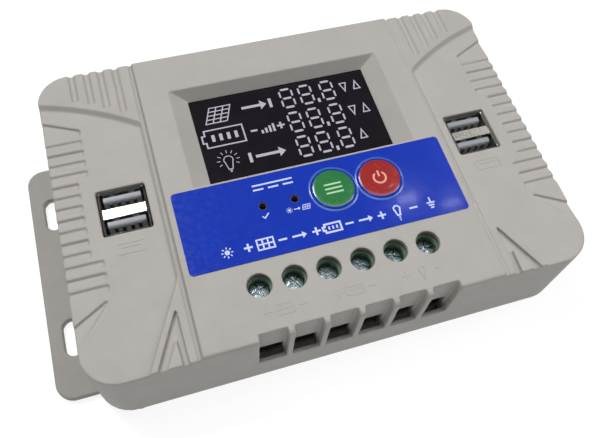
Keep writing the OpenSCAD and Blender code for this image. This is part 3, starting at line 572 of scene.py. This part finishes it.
def digit(width, height, thick, thin):
    """All seven segments of a display digit."""
    def segment(x, y, length, thickness, upright):
        a, b, cut = length / 2, thickness / 2, thickness / 2
        points = [(-a, 0), (-a + cut, -b), (a - cut, -b), (a, 0), (a - cut, b), (-a + cut, b)]
        return ([(x - v, y + u) if upright else (x + u, y + v) for u, v in points], None)
    level = [segment(0, k * height / 2, width * 0.78, thick, False) for k in (-1, 0, 1)]
    upright = [
        segment(i * width / 2, k * height / 4, height * 0.36, thin, True)
        for i in (-1, 1) for k in (-1, 1)
    ]
    return level + upright


def terminal_legend(size, line):
    """Plus, a pictogram and minus over each pair of terminals: solar panel, battery and lamp."""
    centres = [middle_mm(f"terminal_screw_{i}").x for i in range(1, 7)]
    signs = [
        panel(size * 1.5, size, line * 0.8, 3, 2),
        battery(size * 1.5, size * 0.85, line, 3, size * 0.2),
        bulb(size * 0.3, line * 0.8, rays=False),
    ]
    lift = [0, 0, size * 0.3]
    shapes = []
    for k, sign in enumerate(signs):
        first, second = centres[2 * k], centres[2 * k + 1]
        shapes += moved(plus(size * 0.8, line), first, 0)
        shapes += moved(minus(size * 0.8, line), second, 0)
        shapes += moved(sign, (first + second) / 2, lift[k])
    return shapes


# ---------------------------------------------------------------- display

GLASS_TOP = box_mm("lcd_glass")[1].z
SEGMENT_HEIGHT = 0.02
SUNK = 0.01
ROWS = (28.0, 18.2, 8.5)
DIGITS = (2.1, 8.6, 16.1)
POINT_X, UNITS_X, UNIT_LINE = 12.25, (21.9, 26.2), 0.42


def display_shapes():
    """The lit display. Each row has a pictogram, an arrow or level, three digits and unit signs."""
    shapes = []
    for y in ROWS:
        for x in DIGITS:
            shapes += moved(digit(4.1, 7.3, 0.8, 0.6), x, y)
        shapes.append(rectangle(POINT_X, y - 3.3, 0.9, 1.6))
    first, second, third = ROWS
    up = [(-1.1, -1.6), (1.1, -1.6), (0, 1.7)]
    down = [(x, -y) for x, y in up]
    near, far = UNITS_X
    units = (
        (near, first, down), (far, first, up),
        (near, second, down), (far, second, up),
        (near, third, up),
    )
    for x, y, points in units:
        shapes += moved([stroke(points, UNIT_LINE, closed=True)], x, y)
    shapes += moved(panel(7.0, 6.0, 0.38), -21.5, 27.0, lean=0.38)
    shapes += moved(battery(12.4, 6.5, 0.48), -21.4, 18.3)
    shapes += moved(bulb(1.45, 0.3), -22.5, 9.4)
    shapes += moved(arrow(8.4, 3.6, 1.0), -9.4, 27.5) + [rectangle(-3.9, 27.5, 1.0, 3.6)]
    shapes += moved(minus(2.2, 0.7), -11.9, 18.1) + moved(plus(2.6, 0.7), -3.0, 18.1)
    shapes += [rectangle(-9.3 + k * 1.3, 17.0 + k * 0.3, 0.75, 1.3 + k * 0.6) for k in range(4)]
    shapes += [rectangle(-15.6, 8.5, 1.0, 3.6)] + moved(arrow(9.8, 3.6, 1.0), -9.0, 8.5)
    return shapes


add_marks("display_segments", display_shapes(), GLASS_TOP - SUNK, GLASS_TOP + SEGMENT_HEIGHT,
          "lcd_segment")


# ---------------------------------------------------------------- label and keys

LABEL_TOP = box_mm("front_label")[1].z
INK = 0.02
LAMP_MARKS_Y = -14.8
LEGEND_Y = -23.3
KEY_DISC = 6.3
KEY_EDGE = 6.85
KEY_TAB = 1.0
FILM_SHARP = math.radians(50)


def label_shapes():
    """White print: direct current over the lamps, a mark under each, and the terminals' legend."""
    work, solar = middle_mm("work_led").x, middle_mm("pv_led").x
    shapes = moved(direct_current(12.4, 0.55, 1.5), -12.6, -5.0)
    shapes += moved([stroke([(-1.0, 0.1), (-0.3, -0.6), (1.1, 0.8)], 0.4)], work, LAMP_MARKS_Y)
    shapes += moved(sun(0.42, 0.2), solar - 2.6, LAMP_MARKS_Y)
    shapes += moved(arrow(2.0, 1.1, 0.3), solar - 0.2, LAMP_MARKS_Y)
    shapes += moved(panel(2.2, 1.5, 0.2, 3, 2), solar + 2.6, LAMP_MARKS_Y, lean=0.25)
    shapes += moved(terminal_legend(3.2, 0.6), 0, LEGEND_Y)
    shapes += moved(sun(0.75, 0.35), -31.0, LEGEND_Y)
    shapes += moved(earth_sign(2.6, 0.5), 31.6, LEGEND_Y + 0.3)
    for x in (-9.7, 10.7):
        shapes += moved(arrow(4.4, 2.2, 0.6), x, LEGEND_Y)
    return shapes


add_marks("label_print", label_shapes(), LABEL_TOP - SUNK, LABEL_TOP + INK,
          "label_ink")


def ring_of(bm, x, y, radius, z):
    """A bmesh's new points round x, y, all in millimetres."""
    return new_points(bm, round_points(x, y, radius, steps=ROUND_STEPS), z)


def add_key(name, body, node, disc_finish, ink_finish, sign):
    """A key under the film: a coloured disc, a blue slope to the label, and its holding tab."""
    low, high = box_mm(node)
    x, y = middle_mm(node).xy
    top = high.z - INK - 0.01
    slope_foot = LABEL_TOP + 0.03
    tab_top = low.z + KEY_TAB
    foot = tab_top - 0.1
    dome = [(0, top), (3.0, top), (4.8, top - 0.01), (5.6, top - 0.05), (KEY_DISC, top - 0.14)]
    skirt = [(6.5, top - 0.24), (6.7, slope_foot + 0.1), (KEY_EDGE, slope_foot),
             (KEY_EDGE, foot), (0, foot)]
    bm = bmesh.new()
    rings = [
        ring_of(bm, x, y, radius, z) if radius else new_points(bm, [(x, y)], z)
        for radius, z in dome + skirt
    ]
    for k, (inner, outer) in enumerate(zip(rings, rings[1:])):
        for i in range(ROUND_STEPS):
            j = (i + 1) % ROUND_STEPS
            places = ((inner, i), (outer, i), (outer, j), (inner, j))
            corners = [ring[n % len(ring)] for ring, n in places]
            face = bm.faces.new(list(dict.fromkeys(corners)))
            face.material_index = 0 if k < len(dome) - 1 else 1
            face.smooth = True
    tab = bmesh.ops.create_cube(bm, size=1.0)["verts"]
    size = (high.x - low.x, high.y - low.y, tab_top - low.z)
    for v in tab:
        centre = (x, y, (tab_top + low.z) / 2)
        v.co = Vector([(c + v.co[i] * size[i]) * MM for i, c in enumerate(centre)])
    edges = list({e for v in tab for e in v.link_edges})
    bmesh.ops.bevel(bm, geom=edges, offset=0.15 * MM, segments=2, affect="EDGES", profile=0.5)
    bmesh.ops.recalc_face_normals(bm, faces=bm.faces)
    piece = add_mesh(name, bm, [disc_finish, "label_film"], body)
    piece.data.set_sharp_from_angle(angle=FILM_SHARP)
    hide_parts(node)
    add_marks(name + "_sign", moved(sign, x, y), top - SUNK, top + INK,
              ink_finish, body)


def add_rim(name, node):
    """The edge of the film where it rises round a key: a low smooth ring that catches the light, in
    a paler blue that paints a highlight on it.
    """
    x, y = middle_mm(node).xy
    section = [(7.0, -0.1), (7.0, 0.14), (7.1, 0.2), (7.25, 0.19), (7.45, 0.1), (7.7, -0.02),
               (7.7, -0.1)]
    bm = bmesh.new()
    rings = [ring_of(bm, x, y, radius, LABEL_TOP + lift) for radius, lift in section]
    for inner, outer in zip(rings, rings[1:] + rings[:1]):
        for i in range(ROUND_STEPS):
            j = (i + 1) % ROUND_STEPS
            bm.faces.new((inner[i], outer[i], outer[j], inner[j])).smooth = True
    bmesh.ops.recalc_face_normals(bm, faces=bm.faces)
    piece = add_mesh(name, bm, ["film_rim_painted_highlight"])
    piece.data.set_sharp_from_angle(angle=FILM_SHARP)


def add_led_well_shade():
    """Dark tubes that line the indicator wells, from just above each lamp to the film: painted
    shade that darkens the wells.
    """
    outer, inner, gap = 1.24, 1.12, 0.2
    lamps = ("work_led", "pv_led")
    tubes = []
    for lamp in lamps:
        x, y = middle_mm(lamp).xy
        tubes.append((round_points(x, y, outer), round_points(x, y, inner)))
    add_marks("led_well_shade_tubes", tubes, box_mm(lamps[0])[1].z + gap, LABEL_LOW.z, "led_well_painted_shade")


add_led_well_shade()
add_rim("menu_rim", "menu_key")
add_rim("power_rim", "power_key")
add_key("menu_cap", "menu_button", "menu_key", "green_key", "green_key_ink",
        list_sign(5.4, 0.55, 1.45))
add_key("power_cap", "power_button", "power_key", "red_key", "red_key_ink",
        power_sign(1.9, 0.6))


# ---------------------------------------------------------------- marks moulded into the cover

BAND_TOP = box_mm("top_cover")[1].z
SIDE_TOP = BAND_TOP - 2.3
RAISED = 0.1
TERMINAL_MARKS_Y = -43.2
USB_MARK_GAP = 5.2


def socket_sign():
    """A USB socket seen from the front, as an outline with its tongue."""
    outline = stroke([(-4, -1.6), (4, -1.6), (4, 1.6), (-4, 1.6)], 0.4, closed=True)
    return [outline, rectangle(0, 0.5, 5.6, 0.7)]


add_marks("terminal_marks", moved(terminal_legend(3.0, 0.45), 0, TERMINAL_MARKS_Y),
          BAND_TOP - RAISED, BAND_TOP + RAISED, "cover_plastic")
for side in SIDES:
    shell = "usb_shell_" + side
    mark = moved(socket_sign(), middle_mm(shell).x, box_mm(shell)[0].y - USB_MARK_GAP)
    add_marks("usb_mark_" + side, mark, SIDE_TOP - RAISED, SIDE_TOP + RAISED, "cover_plastic")


# ---------------------------------------------------------------- USB sockets

# The shell's rolled lip and its wall, in plan, then the step down from lip to wall.
LIP = 0.3
SKIN = 0.3
LIP_STEP = 0.2
CHAMFER = 0.28
PORT_HEIGHT = 5.15
PORT_OFFSET = 4.125
TONGUE = 1.84
TONGUE_SHARP = math.radians(40)
# How far a spring stands out from the port's back wall, and at what height.
SPRING = [(0.02, 26.4), (0.22, 25.6), (0.5, 24.6), (0.54, 24.2), (0.3, 22.8), (0.12, 21.8)]
SPRING_WIDTH, SPRING_THICKNESS, SPRING_OFFSET = 1.9, 0.18, 2.9


def inwards(point, low, high):
    """How far a point in metres lies inside the nearest side of a box in millimetres."""
    x, y = point.x / MM, point.y / MM
    return min(x - low.x, high.x - x, y - low.y, high.y - y)


def add_shell(side):
    """The socket's shell: its lips slope down outwards, and its walls slope down to the ports. Its
    rim wears a darker nickel, which is painted shade.
    """
    low, high = box_mm("usb_shell_" + side)
    wall_top = high.z - LIP_STEP
    bm = bmesh.new()
    bm.from_mesh(NODES["usb_shell_" + side].data)
    bmesh.ops.remove_doubles(bm, verts=bm.verts, dist=WELD * MM)
    for v in bm.verts:
        height, depth = v.co.z / MM, inwards(v.co, low, high)
        outer_edge = abs(height - high.z) < WELD and depth < LIP / 2
        inner_edge = abs(height - wall_top) < WELD and depth > LIP + SKIN / 2
        if outer_edge or inner_edge:
            v.co.z -= CHAMFER * MM
    finishes = ["nickel_plate", "nickel_painted_shade"]
    piece = add_mesh("usb_case_" + side, bm, finishes)
    # the rim faces get the darker nickel: painted shade on the lips
    for face in piece.data.polygons:
        on_rim = inwards(face.center, low, high) < LIP + SKIN
        if face.center.z > (wall_top - CHAMFER) * MM and on_rim:
            face.material_index = 1
    soften(piece, 0.06)
    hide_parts("usb_shell_" + side)


def add_springs(side):
    """The bent spring fingers of a stacked USB socket, two on the back wall of each port, in the
    darker nickel that paints shade on them.
    """
    middle = middle_mm("usb_shell_" + side)
    half, back = SPRING_WIDTH / 2, -SPRING_THICKNESS
    section = ((-half, 0), (half, 0), (half, back), (-half, back))
    bm = bmesh.new()
    for port in (-1, 1):
        wall = middle.y + port * PORT_OFFSET + PORT_HEIGHT / 2
        for across in (-SPRING_OFFSET, SPRING_OFFSET):
            x = middle.x + across
            rows = [
                new_points(bm, [(x + dx, wall - out + dy) for dx, dy in section], z)
                for out, z in SPRING
            ]
            for a, b in zip(rows, rows[1:]):
                for i in range(4):
                    j = (i + 1) % 4
                    bm.faces.new((a[i], a[j], b[j], b[i]))
            bm.faces.new(rows[0])
            bm.faces.new(rows[-1])
    bmesh.ops.recalc_face_normals(bm, faces=bm.faces)
    add_mesh("usb_springs_" + side, bm, ["nickel_painted_shade"])


def add_tongues(side):
    """The plastic tongue of each port, with its front edge rounded to guide a plug."""
    low, high = box_mm("usb_tongues_" + side)
    near = 0.01
    bm = bmesh.new()
    for y in (low.y, high.y - TONGUE):
        block = bmesh.ops.create_cube(bm, size=1.0)["verts"]
        corner, size = Vector((low.x, y, low.z)), (high.x - low.x, TONGUE, high.z - low.z)
        for v in block:
            v.co = Vector([(c + (v.co[i] + 0.5) * size[i]) * MM for i, c in enumerate(corner)])
        edges = {e for v in block for e in v.link_edges}
        nose = [
            e for e in edges
            if all(v.co.z > (high.z - near) * MM and v.co.y < (y + near) * MM for v in e.verts)
        ]
        bmesh.ops.bevel(bm, geom=nose, offset=0.85 * MM, segments=6, affect="EDGES", profile=0.5)
    for face in bm.faces:
        face.smooth = True
    piece = add_mesh("usb_tongue_pair_" + side, bm, ["grey_plastic"])
    piece.data.set_sharp_from_angle(angle=TONGUE_SHARP)
    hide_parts("usb_tongues_" + side)


for side in SIDES:
    add_shell(side)
    add_springs(side)
    add_tongues(side)


# ---------------------------------------------------------------- floor, lights and camera

FLOOR_SIZE = 6.0
FLOOR_GAP = 0.2
FLOOR_GLOW = 0.84
FILL = 0.06
BACKDROP = 0.92


def add_floor():
    """A wide pale floor just under the base plate, bright enough to show white."""
    bpy.ops.mesh.primitive_plane_add(size=FLOOR_SIZE, location=(0, 0, -FLOOR_GAP * MM))
    floor = bpy.context.object
    floor.name = "floor"
    s = Shader("floor", Emission_Color=WHITE, Emission_Strength=FLOOR_GLOW)
    s.colour(s.mix(s.between(s.noise(400.0), *NOISE_SPAN), (0.19, 0.19, 0.19), (0.21, 0.21, 0.21)))
    s.rough(s.between(s.noise(60.0), *NOISE_SPAN, 0.6, 0.7))
    floor.data.materials.append(s.material)


def add_light(name, place, target, size, power):
    """A soft rectangular lamp. Place, target and size are in millimetres, power in watts."""
    lamp = bpy.data.lights.new(name, "AREA")
    lamp.shape = "RECTANGLE"
    lamp.size, lamp.size_y = size[0] * MM, size[1] * MM
    lamp.energy = power
    holder = bpy.data.objects.new(name, lamp)
    bpy.context.scene.collection.objects.link(holder)
    holder.location = Vector(place) * MM
    holder.rotation_euler = (Vector(target) - Vector(place)).to_track_quat("-Z", "Y").to_euler()


def add_camera(place, target, roll, lens):
    """A camera at place looking at target, in millimetres, rolled by that many degrees."""
    camera = bpy.data.cameras.new("camera")
    camera.lens = lens
    camera.sensor_width = 36.0
    camera.clip_start, camera.clip_end = 0.01, 20.0
    holder = bpy.data.objects.new("camera", camera)
    bpy.context.scene.collection.objects.link(holder)
    holder.location = Vector(place) * MM
    look = (Vector(target) - Vector(place)).to_track_quat("-Z", "Y").to_matrix().to_4x4()
    turn = look @ look.Rotation(math.radians(roll), 4, "Z")
    holder.rotation_euler = turn.to_euler()
    bpy.context.scene.camera = holder


def add_world(fill, backdrop):
    """A weak even fill light, which the camera sees as a brighter, even backdrop."""
    world = bpy.data.worlds.new("studio")
    world.use_nodes = True
    nodes, links = world.node_tree.nodes, world.node_tree.links
    mix = nodes.new("ShaderNodeMixShader")
    links.new(nodes.new("ShaderNodeLightPath").outputs["Is Camera Ray"], mix.inputs[0])
    for place, strength in enumerate((fill, backdrop), start=1):
        sky = nodes.new("ShaderNodeBackground")
        sky.inputs["Color"].default_value = WHITE
        sky.inputs["Strength"].default_value = strength
        links.new(sky.outputs["Background"], mix.inputs[place])
    links.new(mix.outputs["Shader"], nodes["World Output"].inputs["Surface"])
    bpy.context.scene.world = world


bpy.context.scene.view_settings.view_transform = "Standard"

add_world(FILL, BACKDROP)
add_floor()
# The window lights the front from behind, and the ceiling and side lamps even it out. The card and
# the bulbs are small reflections in the right socket and the label.
add_light("window", (-370, 690, 1200), (-370, 690, 0), (340, 530), 15.8)
add_light("ceiling", (10, -55, 400), (10, -55, 0), (480, 250), 0.66)
add_light("side", (330, -40, 330), (60, 0, 30), (160, 200), 0.55)
add_light("card", (425, 330, 600), (425, 330, 0), (130, 100), 0.055)
add_light("bulb_1", (266, 246, 600), (266, 246, 0), (24, 16), 0.011)
add_light("bulb_2", (323, 224, 600), (323, 224, 0), (24, 16), 0.008)
add_camera((-45.57, -97.91, 197.95), (-8.01, -18.19, 31.0), 9.16, 38.87)
